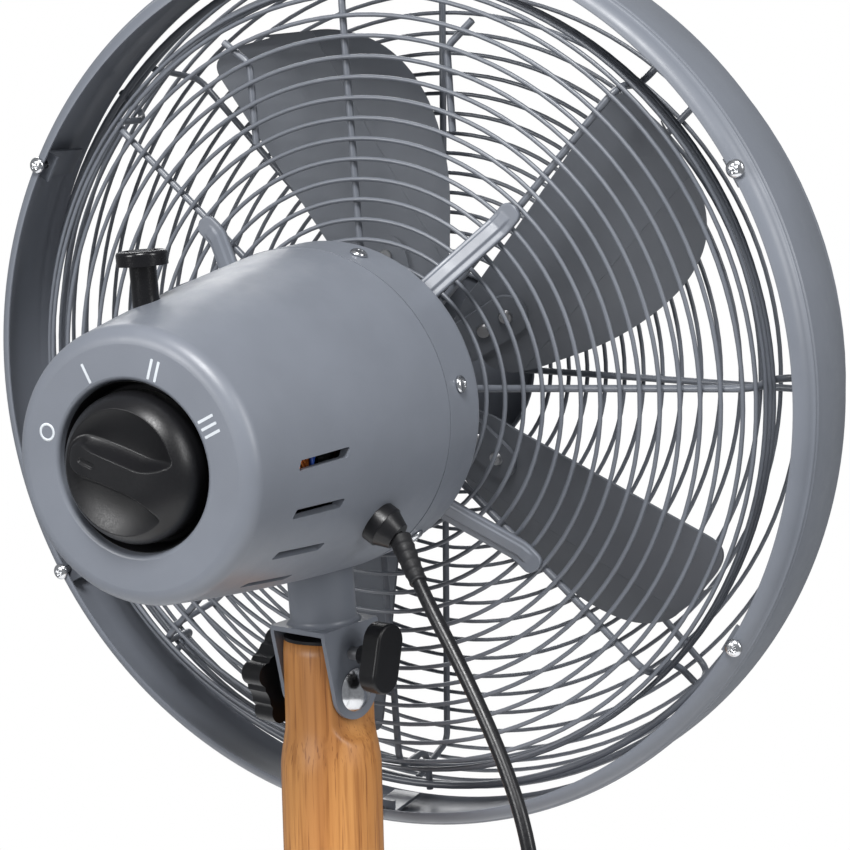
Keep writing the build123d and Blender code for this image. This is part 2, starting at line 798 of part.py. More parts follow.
# Each blade is one sheet with a straight crease, so its trailing part is steeper
with BuildPart() as fan_blades:
    for number in range(blades):
        with BuildSketch(blade_frame(number)):
            with BuildLine():
                root = Line((35, -17), (35, 12))
                root_edge = Spline(root @ 1, (46, 17), (60, 21.5), tangents=[(1, 0.2), (1, 0.353)])
                lead_edge = Line(root_edge @ 1, (163, 57.8))
                tip = Spline(lead_edge @ 1, (172.5, 58.5), (177.5, 49), (178.5, 30), crease_out,
                             tangents=[(1, 0.353), (-0.16, -1)])
                crease = Line(tip @ 1, crease_in)
                heel = Spline(crease @ 1, root @ 0, tangents=[(-1, 0.35), (-0.5, 1)])
            make_face()
        extrude(amount=blade_sheet / 2, both=True)
        with BuildSketch(flap_frame(number)):
            with BuildLine():
                crease = Line((0, 0), (crease_long, 0))
                flap = Spline(crease @ 1, (126, -14.7), (112.1, -26.4), (95.9, -32.1), (74.9, -32.8),
                              (51.4, -27.7), (29.1, -18.1), (11.3, -7.8), crease @ 0,
                              tangents=[(-0.35, -1), (-1, 0.75)])
            make_face()
        extrude(amount=blade_sheet / 2, both=True)
save(fan_blades, "fan_blades")

with BuildPart() as blade_rivets:
    for number in range(blades):
        with BuildSketch(blade_frame(number, arm_gap + arm_sheet + 0.05)):
            with Locations((46, 0), (60, 0)):
                Circle(3.6)
        extrude(amount=1.6, taper=20)
save(blade_rivets, "blade_rivets")

with BuildPart() as hub_nut:
    with BuildSketch(station(blade_plane - 12)):
        Circle(14)
        Circle(4.05, mode=Mode.SUBTRACT)
    extrude(amount=13.1)
    fillet(hub_nut.faces().sort_by(Axis(side_plane.origin, side_plane.x_dir))[0].edges().sort_by(
        SortBy.RADIUS)[-1], 4)
save(hub_nut, "hub_nut")

# =====================================================================================
# Cage
# =====================================================================================
lift = ring_wire + rod_wire + weld


# Rear grille: a shallow basket, its hoops outside the rods
bend = 9.0
wall_ring = 192.5
outer_bend = bend + lift
with BuildPart() as rear_rings:
    with BuildSketch(side_plane):
        for k in range(rear_last):
            with Locations((rear_plane, rear_first + k * rear_pitch)):
                Circle(ring_wire)
        for degrees in (22, 52, 84):
            c = math.radians(degrees)
            back = rear_plane - outer_bend + outer_bend * math.cos(c)
            with Locations((back, wall_ring - outer_bend + outer_bend * math.sin(c))):
                Circle(ring_wire)
        with Locations((-76.0, wall_ring), (-81.5, wall_ring)):
            Circle(ring_wire)
        with Locations((-92.0 + rod_wire + 1.83, 207.0)):
            Circle(1.8)
    revolve(axis=fan_axis)
save(rear_rings, "rear_grille_rings")

with BuildPart() as rear_rods:
    for number in range(8):
        with BuildLine(spoke(number * 45)) as path:
            FilletPolyline(
                (rear_plane - lift, rear_first - 3), (rear_plane - lift, wall_ring - lift),
                (-92, wall_ring - lift), (-92, 210.9), radius=bend,
            )
        with BuildSketch(Plane(origin=path.line @ 0, z_dir=path.line % 0)):
            Circle(rod_wire)
        sweep(path=path.line)
save(rear_rods, "rear_grille_rods")

# Two short upright stays in the top of the rear grille
with BuildPart() as grille_stays:
    for way in (1, -1):
        with BuildLine(station(rear_plane - lift)) as path:
            FilletPolyline((way * 52.5, 119), (way * 52.5, 157), (way * 66, 168), radius=8)
        with BuildSketch(Plane(origin=path.line @ 0, z_dir=path.line % 0)):
            Circle(rod_wire)
        sweep(path=path.line)
save(grille_stays, "grille_stays")

# Four ridged bars from the cover to the rear grille's diagonals
with BuildPart() as grille_brackets:
    for angle in (45, 135, 225, 315):
        with BuildSketch(spoke(angle)):
            with BuildLine():
                Polyline(
                    (cover_front - 0.1, 58), (cover_front - 0.1, 71), (rear_plane + ring_wire + 3.2, 108),
                    (rear_plane + ring_wire + 3.2, 119), (rear_plane + ring_wire + 0.1, 119),
                    (rear_plane + ring_wire + 0.1, 106), (cover_front - 3.2, 69), (cover_front - 3.2, 58),
                    close=True,
                )
            make_face()
        extrude(amount=5.3, both=True)
    fillet(grille_brackets.edges().filter_by(lambda e: abs(e.length - 3.1) < 0.02), 4.6)
save(grille_brackets, "grille_brackets")

# Front grille: a flat face that slopes back to the band
with BuildPart() as front_rings:
    with BuildSketch(side_plane):
        for k in range(front_last):
            with Locations((front_plane, front_first + k * front_pitch)):
                Circle(ring_wire)
        with Locations((-142.6, 205.6), (-135.0, 209.6), (-126.0, 211.9), (-117.0, 214.1)):
            Circle(ring_wire)
        with Locations((-106.0, 212.9)):
            Circle(1.8)
    revolve(axis=fan_axis)
save(front_rings, "front_grille_rings")

with BuildPart() as front_rods:
    for number in range(8):
        with BuildLine(spoke(number * 45 - 4)) as path:
            FilletPolyline(
                (front_plane + lift, front_first - 3), (front_plane + lift, 203.4),
                (-108.2, 212.0), radius=7,
            )
        with BuildSketch(Plane(origin=path.line @ 0, z_dir=path.line % 0)):
            Circle(rod_wire)
        sweep(path=path.line)
save(front_rods, "front_grille_rods")

# Plain domed plate in the middle of the front grille
with BuildPart() as centre_badge:
    with BuildSketch(side_plane):
        with BuildLine():
            Line((front_plane - 1.2, 0), (front_plane - 1.2, 46.6))
            Line((front_plane - 1.2, 46.6), (front_plane - 3.0, 46.6))
            TangentArc((front_plane - 6.4, 0), (front_plane - 3.0, 46.6), tangent=(0, 1))
            Line((front_plane - 6.4, 0), (front_plane - 1.2, 0))
        make_face()
    revolve(axis=fan_axis)
save(centre_badge, "centre_badge")

# Deep band: a rounded shoulder at the rear, a double bead, then a wide flared strip
with BuildPart() as cage_band:
    with BuildSketch(side_plane):
        with BuildLine():
            a1 = Line((band_rear, 209.0), (band_rear, 210.6))
            a2 = ThreePointArc((band_rear, 210.6), (band_rear - 2.2, 214.6), (band_rear - 6.0, 216.6))
            a3 = Line((band_rear - 6.0, 216.6), (band_rear - 7.2, 217.4))
            a4 = Line((band_rear - 7.2, 217.4), (band_rear - 8.2, 217.0))
            a5 = Line((band_rear - 8.2, 217.0), (band_rear - 9.4, 217.8))
            a6 = Line((band_rear - 9.4, 217.8), (band_rear - 10.6, 217.3))
            a7 = Line((band_rear - 10.6, 217.3), (band_front, band_radius))
            a8 = ThreePointArc((band_front, band_radius), (band_front - 1.6, 219.0), (band_front - 1.6, 217.2))
            a9 = Line((band_front - 1.6, 217.2), (band_front - 0.6, 217.2))
            b1 = Line((band_front - 0.6, 217.2), (band_front + 0.2, 218.7))
            b2 = Line((band_front + 0.2, 218.7), (band_rear - 10.6, 216.0))
            b3 = Line((band_rear - 10.6, 216.0), (band_rear - 6.4, 215.3))
            b4 = ThreePointArc((band_rear - 6.4, 215.3), (band_rear - 3.2, 213.7), (band_rear - 1.2, 210.4))
            b5 = Line((band_rear - 1.2, 210.4), (band_rear - 1.2, 209.0))
            b6 = Line((band_rear - 1.2, 209.0), (band_rear, 209.0))
        make_face()
    revolve(axis=fan_axis)
    with BuildSketch(station(band_rear + 2)):
        with PolarLocations(211.6, 6, 27):
            Circle(2.1)
    extrude(amount=-8, mode=Mode.SUBTRACT)
save(cage_band, "cage_band")

with BuildPart() as band_screws:
    with BuildSketch(station(band_rear + 0.05)):
        with PolarLocations(211.6, 6, 27):
            Circle(4.1)
    extrude(amount=2.6, taper=16)
    with BuildSketch(station(band_rear + 0.05)):
        with PolarLocations(211.6, 6, 27):
            Circle(2.0)
    extrude(amount=-9)
save(band_screws, "band_screws")

# Folded clips inside the band, which the screws pull on
with BuildPart() as band_clips:
    for number in range(6):
        with BuildSketch(spoke(27 + 60 * number)):
            with BuildLine():
                Polyline(
                    (band_rear - 6.4, 206.5), (band_rear - 6.4, 213.6), (-88, 213.6), (-88, 212.0),
                    (band_rear - 8.0, 212.0), (band_rear - 8.0, 206.5), close=True,
                )
            make_face()
        extrude(amount=7, both=True)
    with BuildSketch(station(band_rear)):
        with PolarLocations(211.6, 6, 27):
            Circle(2.1)
    extrude(amount=-12, mode=Mode.SUBTRACT)
save(band_clips, "band_clips")

# =====================================================================================
# Mains cord: it hangs from the gland to the floor, where the rest lies coiled
# =====================================================================================
mouth = outward(gland_angle, gland_back, 81.3).origin


def arc_radii(points):
    """For each corner, the largest arc that its two runs allow."""
    found = []
    for before, here, after in zip(points, points[1:], points[2:]):
        first = here - before
        second = after - here
        turned = math.radians(first.get_angle(second))
        found.append(round(0.45 * min(first.length, second.length) / math.tan(turned / 2), 1))
    return found


upper_route = [
    mouth,
    Vector(-92, 37.5, 931),
    Vector(-119, 42, 900),
    Vector(-144, 47, 867),
    Vector(-160, 52, 838),
    Vector(-164, 52, 800),
    Vector(-152, 47, 762),
    Vector(-131, 41, 728),
    Vector(-109, 35, 697),
    Vector(-88, 29, 664),
    Vector(-70, 24, 628),
    Vector(-57, 20, 590),
    Vector(-49, 17, 556),
]
lower_route = [
    Vector(-48.8, 16.9, 555.2),
    Vector(-45, 16, 522),
    Vector(-45, 17, 480),
    Vector(-46, 19, 430),
    Vector(-50, 22, 380),
    Vector(-55, 26, 330),
    Vector(-61, 31, 280),
    Vector(-68, 37, 230),
    Vector(-76, 44, 180),
    Vector(-85, 52, 132),
    Vector(-96, 62, 88),
    Vector(-111, 74, 50),
    Vector(-131, 88, 22),
    Vector(-155, 104, 7),
    Vector(-181, 120, 3.3),
    Vector(-206, 134, 3.2),
    Vector(-229, 148, 3.2),
    Vector(-244, 162, 3.2),
]
upper_radii = arc_radii(upper_route)
lower_radii = arc_radii(lower_route)
print("upper cord radii", upper_radii)
print("lower cord radii", lower_radii)

with BuildPart() as cord_upper:
    with BuildLine():
        path = FilletPolyline(*upper_route, radius=upper_radii)
    with BuildSketch(Plane(origin=path @ 0, z_dir=path % 0)):
        Circle(cord_radius)
    sweep()
print("upper cord", path.length, cord_upper.part.volume, math.pi * cord_radius**2 * path.length)
save(cord_upper, "cord_upper")

with BuildPart() as cord_lower:
    with BuildLine():
        path = FilletPolyline(*lower_route, radius=lower_radii)
    with BuildSketch(Plane(origin=path @ 0, z_dir=path % 0)):
        Circle(cord_radius)
    sweep()
print("lower cord", path.length, cord_lower.part.volume, math.pi * cord_radius**2 * path.length)
save(cord_lower, "cord_lower")

# Coil on the floor, and the cord's end that runs out of it to the plug
coil_centre = Vector(-211.5, 175, 0)
tail_turn = math.radians(72)
tail_way = Vector(math.sin(tail_turn), -math.cos(tail_turn), 0)
tail_start = coil_centre + Vector(math.cos(tail_turn), math.sin(tail_turn), 0) * 35 + Vector(0, 0, 7.6)
with BuildPart() as cord_coil:
    with BuildSketch(Plane.XY.offset(0.1)):
        with Locations(coil_centre):
            Circle(41.6)
            Circle(28.4, mode=Mode.SUBTRACT)
    extrude(amount=12.6)
    fillet(cord_coil.edges().group_by(Axis.Z)[-1], 3)
    with BuildSketch(Plane(origin=tail_start, z_dir=tail_way)):
        Circle(cord_radius)
    extrude(amount=45)
save(cord_coil, "cord_coil")

# Two-pin plug at the cord's end
plug_plane = Plane(origin=tail_start + tail_way * 45.1, x_dir=(0, 0, 1), z_dir=tail_way)
with BuildPart() as plug:
    with BuildSketch(plug_plane.offset(0)):
        Circle(4.2)
    with BuildSketch(plug_plane.offset(14)):
        Circle(5.6)
    loft()
    with BuildSketch(plug_plane.offset(14)):
        Circle(5.6)
    with BuildSketch(plug_plane.offset(22)):
        RectangleRounded(14.6, 34, 6.5)
    loft()
    with BuildSketch(plug_plane.offset(22)):
        RectangleRounded(14.6, 34, 6.5)
    extrude(amount=20)
    for way in (1, -1):
        with BuildSketch(plug_plane.offset(32)):
            with Locations((0, way * 9.5)):
                Circle(2.42)
        extrude(amount=12, mode=Mode.SUBTRACT)
save(plug, "plug")

with BuildPart() as plug_pins:
    for way in (1, -1):
        with BuildSketch(plug_plane.offset(32)):
            with Locations((0, way * 9.5)):
                Circle(2.4)
        extrude(amount=29)
save(plug_pins, "plug_pins")

# =====================================================================================
# The origin is on the floor, under the middle of the object without its free cord
# =====================================================================================
on_the_cord = ["cord_upper", "cord_lower", "cord_coil", "plug", "plug_pins"]
boxes = [part.bounding_box() for name, part in pieces.items() if name not in on_the_cord]
middle_y = (min(box.min.Y for box in boxes) + max(box.max.Y for box in boxes)) / 2
print("post axis at y", -middle_y)
for name, part in pieces.items():
    export_step(part.moved(Location((0, -middle_y, 0))), "parts/" + name + ".step")
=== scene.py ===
import json
import math

import bpy
from mathutils import Matrix, Vector
from mathutils.noise import noise


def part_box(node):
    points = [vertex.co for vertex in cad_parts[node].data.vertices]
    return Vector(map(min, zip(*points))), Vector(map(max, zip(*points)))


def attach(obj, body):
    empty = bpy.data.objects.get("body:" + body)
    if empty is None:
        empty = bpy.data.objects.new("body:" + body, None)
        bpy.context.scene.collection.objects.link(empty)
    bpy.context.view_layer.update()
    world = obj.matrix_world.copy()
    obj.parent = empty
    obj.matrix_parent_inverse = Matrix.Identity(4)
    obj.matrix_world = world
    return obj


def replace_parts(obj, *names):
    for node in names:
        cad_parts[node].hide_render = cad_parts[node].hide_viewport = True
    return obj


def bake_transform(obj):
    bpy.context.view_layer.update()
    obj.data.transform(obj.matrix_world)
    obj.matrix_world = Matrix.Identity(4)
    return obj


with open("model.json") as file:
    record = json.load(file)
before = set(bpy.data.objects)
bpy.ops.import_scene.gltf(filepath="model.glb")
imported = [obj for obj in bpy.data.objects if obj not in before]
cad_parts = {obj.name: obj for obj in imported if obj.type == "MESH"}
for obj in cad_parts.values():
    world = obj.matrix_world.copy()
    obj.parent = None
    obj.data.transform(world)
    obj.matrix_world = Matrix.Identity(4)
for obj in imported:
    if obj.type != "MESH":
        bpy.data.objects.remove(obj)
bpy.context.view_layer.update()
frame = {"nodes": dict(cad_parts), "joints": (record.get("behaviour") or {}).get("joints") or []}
nodes = frame["nodes"]
joints = {joint["name"]: joint for joint in frame["joints"]}

# Shapes are written in millimetres, and MM turns them into the frame's metres. Angles on the head
# are in degrees, as seen from behind, counterclockwise from the right.
MM = 0.001

# ---- Places, all from the frame ----
bolt = Vector(joints["head_tilt"]["pos_m"])
fan = Vector(joints["fan_spin"]["pos_m"])
up = Vector(joints["head_pan"]["axis"]).normalized()
rearward = -Vector(joints["fan_spin"]["axis"]).normalized()
leftward = rearward.cross(up)
post = Vector((0.0, bolt.y, 0.0))


def outward_at(angle):
    """Direction from the fan's axis towards this angle."""
    a = math.radians(angle)
    return -leftward * math.cos(a) + up * math.sin(a)


def matrix_of(x, y, z, place):
    m = Matrix.Identity(4)
    for column, axis in enumerate((x, y, z)):
        m.col[column][:3] = axis
    m.col[3][:3] = place
    return m


def head_point(side, back, height):
    """A point of the head: to its left, behind the fan's origin and above the fan's axis."""
    return fan + (leftward * side + rearward * back + up * height) * MM


def head_frame(angle, back, reach, outward=True):
    """Matrix at a radius of the head. Its z points outward, or else rearward."""
    out = outward_at(angle)
    z = out if outward else rearward
    x = rearward if outward else out
    return matrix_of(x, z.cross(x), z, fan + (out * reach + rearward * back) * MM)


def dial_frame(angle, back):
    """Matrix on the fan's axis that faces the rear, its x along this angle."""
    x = outward_at(angle)
    return matrix_of(x, rearward.cross(x), rearward, fan + rearward * back * MM)


def post_point(x, y, z):
    """A point measured from the foot of the post's axis."""
    return post + Vector((x, y, z)) * MM


# ---- Numbers ----
def clamp(value, low=0.0, high=1.0):
    return min(max(value, low), high)


def eased(u, start, end):
    """A smooth step, from 0 at start to 1 at end."""
    t = clamp((u - start) / (end - start))
    return t * t * (3 - 2 * t)


def soft_max(a, b, k):
    """The larger of two numbers, rounded off where they are within k of each other."""
    h = clamp(0.5 + 0.5 * (a - b) / k)
    return b + (a - b) * h + k * h * (1 - h)


def soft_min(a, b, k):
    return -soft_max(-a, -b, k)


# ==================================================================================================
# Materials
# ==================================================================================================
LOW, HIGH = 0.3, 0.7          # the part of a noise's range that most finishes use
FINE_BUMP = 0.0001            # depth of a grain, in metres


def material(name):
    mat = bpy.data.materials.new(name)
    mat.use_nodes = True
    tree = mat.node_tree
    return mat, tree, tree.nodes["Principled BSDF"]


def add_node(tree, kind, **inputs):
    node = tree.nodes.new(kind)
    for key, value in inputs.items():
        node.inputs[key.replace("_", " ")].default_value = value
    return node


def object_coordinates(tree, scale=(1, 1, 1), rotation=(0, 0, 0)):
    source = tree.nodes.new("ShaderNodeTexCoord")
    mapping = add_node(tree, "ShaderNodeMapping", Scale=scale, Rotation=rotation)
    tree.links.new(source.outputs["Object"], mapping.inputs["Vector"])
    return mapping.outputs["Vector"]


def noise_from(tree, vector, scale, detail=3.0, roughness=0.5, distortion=0.0):
    node = add_node(tree, "ShaderNodeTexNoise", Scale=scale, Detail=detail, Roughness=roughness,
                    Distortion=distortion)
    tree.links.new(vector, node.inputs["Vector"])
    return node.outputs["Fac"]


def ramp(tree, value, *stops):
    node = tree.nodes.new("ShaderNodeValToRGB")
    elements = node.color_ramp.elements
    while len(elements) < len(stops):
        elements.new(0.5)
    for element, (position, colour) in zip(elements, stops):
        element.position = position
        element.color = (*colour, 1.0)
    tree.links.new(value, node.inputs["Fac"])
    return node.outputs["Color"]


def remap(tree, value, to_low, to_high):
    """A noise's usual range, moved to another one."""
    node = add_node(tree, "ShaderNodeMapRange")
    for index, number in enumerate((LOW, HIGH, to_low, to_high)):
        node.inputs[index + 1].default_value = number
    tree.links.new(value, node.inputs[0])
    return node.outputs[0]


def bump(tree, shader, height, strength, distance=FINE_BUMP):
    node = add_node(tree, "ShaderNodeBump", Strength=strength, Distance=distance)
    tree.links.new(height, node.inputs["Height"])
    tree.links.new(node.outputs["Normal"], shader.inputs["Normal"])


def shade(colour, factor):
    return tuple(min(1.0, c * factor) for c in colour)


def painted(name, colour, roughness, grain, coat=0.0):
    """Satin paint on metal: a fine orange peel, faint cloudiness and uneven gloss."""
    mat, tree, shader = material(name)
    here = object_coordinates(tree)
    cloud = noise_from(tree, here, 26, 4)
    clouded = ramp(tree, cloud, (LOW, shade(colour, 0.94)), (HIGH, shade(colour, 1.05)))
    tree.links.new(clouded, shader.inputs["Base Color"])
    speck = noise_from(tree, here, 2600, 2)
    gloss = noise_from(tree, here, 90, 3)
    uneven = remap(tree, gloss, roughness - 0.05, roughness + 0.06)
    tree.links.new(uneven, shader.inputs["Roughness"])
    shader.inputs["Specular IOR Level"].default_value = 0.45
    shader.inputs["Coat Weight"].default_value = coat
    shader.inputs["Coat Roughness"].default_value = 0.3
    bump(tree, shader, speck, grain, 0.00012)
    return mat


def moulded(name, colour, roughness, grain, scale=1500, specular=0.5):
    """Moulded plastic with a spark-eroded grain."""
    mat, tree, shader = material(name)
    here = object_coordinates(tree)
    fine = noise_from(tree, here, scale, 3, 0.6)
    broad = noise_from(tree, here, 40, 3)
    mottled = ramp(tree, broad, (LOW, shade(colour, 0.85)), (HIGH, shade(colour, 1.2)))
    tree.links.new(mottled, shader.inputs["Base Color"])
    uneven = remap(tree, fine, roughness - 0.06, roughness + 0.1)
    tree.links.new(uneven, shader.inputs["Roughness"])
    shader.inputs["Specular IOR Level"].default_value = specular
    bump(tree, shader, fine, grain)
    return mat


def bare_metal(name, colour, roughness, streak=(300, 300, 300), wear=0.1):
    """Plated or bare metal with fine handling marks."""
    mat, tree, shader = material(name)
    shader.inputs["Metallic"].default_value = 1.0
    here = object_coordinates(tree, streak)
    marks = noise_from(tree, here, 3, 5, 0.6)
    tree.links.new(ramp(tree, marks, (LOW, shade(colour, 0.86)), (HIGH, colour)),
                   shader.inputs["Base Color"])
    tree.links.new(remap(tree, marks, roughness, roughness + wear), shader.inputs["Roughness"])
    bump(tree, shader, marks, 0.12)
    return mat


def wood(name, direction):
    """Oiled hardwood: slow colour bands, fine dark pores and flecks that run along the piece."""
    mat, tree, shader = material(name)
    along = Vector(direction).normalized()
    turn = along.rotation_difference(Vector((0, 0, 1))).to_euler()
    bands = object_coordinates(tree, (34, 34, 1.6), turn)
    fibres = object_coordinates(tree, (330, 330, 11), turn)
    pores = object_coordinates(tree, (900, 900, 26), turn)
    warp = noise_from(tree, bands, 1.5, 5, 0.55, 1.2)
    fine = noise_from(tree, fibres, 1.0, 4, 0.6, 0.2)
    pits = noise_from(tree, pores, 1.0, 2, 0.5)
    base = ramp(tree, warp, (0.28, (0.37, 0.150, 0.040)), (0.45, (0.44, 0.190, 0.052)),
                (0.6, (0.51, 0.236, 0.070)), (0.75, (0.41, 0.172, 0.047)))
    streak = ramp(tree, fine, (0.34, (0.60, 0.50, 0.42)), (0.50, (0.98, 0.97, 0.96)),
                  (0.66, (1.05, 1.05, 1.05)))
    pit = ramp(tree, pits, (0.32, (0.50, 0.40, 0.32)), (0.40, (1.0, 1.0, 1.0)))
    mixed = base
    for layer, amount in ((streak, 0.75), (pit, 0.7)):
        mix = tree.nodes.new("ShaderNodeMix")
        mix.data_type = "RGBA"
        mix.blend_type = "MULTIPLY"
        # a colour mix has its factor on socket 0 and its two colours on 6 and 7
        mix.inputs[0].default_value = amount
        tree.links.new(mixed, mix.inputs[6])
        tree.links.new(layer, mix.inputs[7])
        mixed = mix.outputs[2]
    tree.links.new(mixed, shader.inputs["Base Color"])
    tree.links.new(remap(tree, fine, 0.36, 0.5), shader.inputs["Roughness"])
    bump(tree, shader, pits, 0.25, 0.0002)
    return mat


def wound_copper(name):
    """Enamelled wire laid side by side."""
    mat, tree, shader = material(name)
    shader.inputs["Metallic"].default_value = 0.8
    here = object_coordinates(tree, (700, 700, 700))
    strands = noise_from(tree, here, 2.0, 3, 0.6)
    wires = ramp(tree, strands, (0.35, (0.3, 0.07, 0.015)), (0.65, (0.75, 0.25, 0.06)))
    tree.links.new(wires, shader.inputs["Base Color"])
    shader.inputs["Roughness"].default_value = 0.35
    bump(tree, shader, strands, 0.6, 0.0004)
    return mat


GREY = (0.150, 0.163, 0.190)
housing_paint = painted("housing_paint", GREY, 0.40, 0.28, coat=0.15)
grille_paint = painted("grille_paint", shade(GREY, 0.78), 0.36, 0.2, coat=0.2)
band_paint = painted("band_paint", shade(GREY, 0.92), 0.4, 0.25, coat=0.1)
blade_paint = painted("blade_paint", (0.112, 0.121, 0.138), 0.38, 0.3)
cast_paint = painted("cast_paint", shade(GREY, 0.9), 0.5, 0.6)
black_satin = moulded("black_satin", (0.006, 0.006, 0.007), 0.34, 0.25, specular=0.34)
black_gloss = moulded("black_gloss", (0.005, 0.005, 0.006), 0.2, 0.08, specular=0.4)
black_rubber = moulded("black_rubber", (0.010, 0.010, 0.011), 0.5, 0.3, 900, specular=0.3)
cord_skin = moulded("cord_skin", (0.007, 0.007, 0.008), 0.3, 0.15, 700, specular=0.4)
mark_ink = moulded("mark_ink", (0.52, 0.55, 0.58), 0.5, 0.1)
blue_skin = moulded("blue_skin", (0.02, 0.07, 0.35), 0.4, 0.1)
nylon = moulded("nylon", (0.72, 0.70, 0.64), 0.45, 0.1)
chrome = bare_metal("chrome", (0.66, 0.67, 0.69), 0.14)
steel = bare_metal("steel", (0.5, 0.5, 0.51), 0.3)
cast_aluminium = bare_metal("cast_aluminium", (0.55, 0.56, 0.57), 0.45, (900, 900, 900), 0.2)
brass = bare_metal("brass", (0.68, 0.47, 0.18), 0.25)
copper_wire = wound_copper("copper_wire")

# The finish of each CAD node. The legs and the post get woods of their own, further down.
finishes = {
    housing_paint: ["motor_housing", "housing_cover", "yoke"],
    grille_paint: ["rear_grille_rings", "rear_grille_rods", "grille_stays", "front_grille_rings",
                   "front_grille_rods", "centre_badge", "band_clips"],
    band_paint: ["cage_band", "grille_brackets"],
    blade_paint: ["fan_blades", "blade_hub"],
    cast_paint: ["base_hub"],
    black_satin: ["post_cap", "lock_knob", "clamp_knob", "speed_knob", "speed_switch", "hub_nut",
                  "cord_gland", "capacitor", "plug"],
    black_gloss: ["oscillation_knob"],
    black_rubber: ["feet"],
    cord_skin: ["cord_upper", "cord_lower", "cord_coil"],
    chrome: ["tilt_bolt", "cover_screws", "band_screws", "leg_bolts", "plug_pins"],
    steel: ["lock_screw", "link_pin", "switch_spindle", "clutch_rod", "stator_core",
            "shaft_bearings", "motor_shaft", "rotor_core", "crank", "drive_link", "blade_rivets",
            "hub_bolt"],
    cast_aluminium: ["motor_frame", "rear_bell", "gearbox"],
    brass: ["clamp_nut", "pan_bushing", "worm"],
    copper_wire: ["stator_windings"],
    nylon: ["tilt_washers", "worm_wheel"],
}


def give_finish(name, finish):
    nodes[name].data.materials.clear()
    nodes[name].data.materials.append(finish)


for finish, names in finishes.items():
    for name in names:
        give_finish(name, finish)

# The grain of a leg runs along it: this much outward for this much down
LEG_OUT, LEG_DOWN = 0.55, 0.83
for name in ("leg_rear", "leg_front_left", "leg_front_right"):
    low, high = (Vector(corner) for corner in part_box(name))
    middle = (low + high) / 2
    slope = (middle - post) * Vector((1, 1, 0))
    grain = slope.normalized() * LEG_OUT - Vector((0, 0, LEG_DOWN))
    give_finish(name, wood("wood_" + name, grain))


# ==================================================================================================
# Mesh helpers. A shape is a list of points in metres and a list of faces.
# ==================================================================================================
def piece(name, points, faces, finish, body, slot_name, smooth=True):
    mesh = bpy.data.meshes.new(name)
    mesh.from_pydata([tuple(p) for p in points], [], faces)
    mesh.update()
    mesh.materials.append(finish)
    if smooth:
        mesh.shade_smooth()
    obj = bpy.data.objects.new(name, mesh)
    bpy.context.scene.collection.objects.link(obj)
    if body:
        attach(obj, body)
    return obj


def joined(shapes):
    """Several shapes as one."""
    points, faces = [], []
    for more, sides in shapes:
        faces += [tuple(i + len(points) for i in face) for face in sides]
        points += more
    return points, faces


def circle(radius, sides):
    """The (x, y) corners of a round outline."""
    turns = [2 * math.pi * side / sides for side in range(sides)]
    return [(radius * math.cos(a), radius * math.sin(a)) for a in turns]


def ring_faces(rings, sides, start=0, flip=False):
    """Quads between rings of corners that follow each other from start."""
    faces = []
    for ring in range(rings - 1):
        for side in range(sides):
            a = start + ring * sides + side
            b = start + ring * sides + (side + 1) % sides
            faces.append((a, a + sides, b + sides, b) if flip else (a, b, b + sides, a + sides))
    return faces


def cap(start, sides, flip=False):
    corners = tuple(range(start, start + sides))
    return corners[::-1] if flip else corners


def smooth_route(points):
    """Points along the NURBS line that these control points make."""
    curve = bpy.data.curves.new("route", "CURVE")
    curve.dimensions = "3D"
    spline = curve.splines.new("NURBS")
    spline.points.add(len(points) - 1)
    for control, point in zip(spline.points, points):
        control.co = (*point, 1.0)
    spline.order_u = 3
    spline.use_endpoint_u = True
    spline.resolution_u = 8
    obj = bpy.data.objects.new("route", curve)
    bpy.context.scene.collection.objects.link(obj)
    mesh = bpy.data.meshes.new_from_object(obj)
    line = [v.co.copy() for v in mesh.vertices]
    bpy.data.objects.remove(obj)
    return line


def tube(line, radius, sides=16):
    """A closed round tube. Its radius is a number, or a function of the distance along it."""
    width = radius if callable(radius) else (lambda run: radius)
    points = []
    way = (line[1] - line[0]).normalized()
    across = way.orthogonal().normalized()
    run = 0.0
    for index, here in enumerate(line):
        before = line[max(index - 1, 0)]
        after = line[min(index + 1, len(line) - 1)]
        way = (after - before).normalized()
        across = (across - way * across.dot(way)).normalized()
        other = way.cross(across)
        run += (here - before).length if index else 0.0
        for side in range(sides):
            a = 2 * math.pi * side / sides
            points.append(here + (across * math.cos(a) + other * math.sin(a)) * width(run))
    faces = ring_faces(len(line), sides)
    faces.append(cap(0, sides, flip=True))
    faces.append(cap(len(points) - sides, sides))
    return points, faces


def revolved(place, profile, sides):
    """A sheet turned about z, from (radius, height) pairs."""
    points = [place @ Vector((x * MM, y * MM, z * MM))
              for r, z in profile for x, y in circle(r, sides)]
    return points, ring_faces(len(profile), sides)


def domed(place, height, radius, rings, sides, skirt):
    """A round shape whose face is a height over its back plane. The (radius, height) pairs of its
    skirt lead from the rim to a flat back."""
    points = [place @ Vector((0, 0, height(0, 0) * MM))]
    rows = [(radius * ring / rings, None) for ring in range(1, rings + 1)] + list(skirt)
    for r, z in rows:
        for x, y in circle(r, sides):
            level = height(x, y) if z is None else z
            points.append(place @ Vector((x * MM, y * MM, level * MM)))
    faces = [(0, 1 + side, 1 + (side + 1) % sides) for side in range(sides)]
    faces += ring_faces(len(rows), sides, start=1, flip=True)
    faces.append(cap(1 + (len(rows) - 1) * sides, sides, flip=True))
    return points, faces


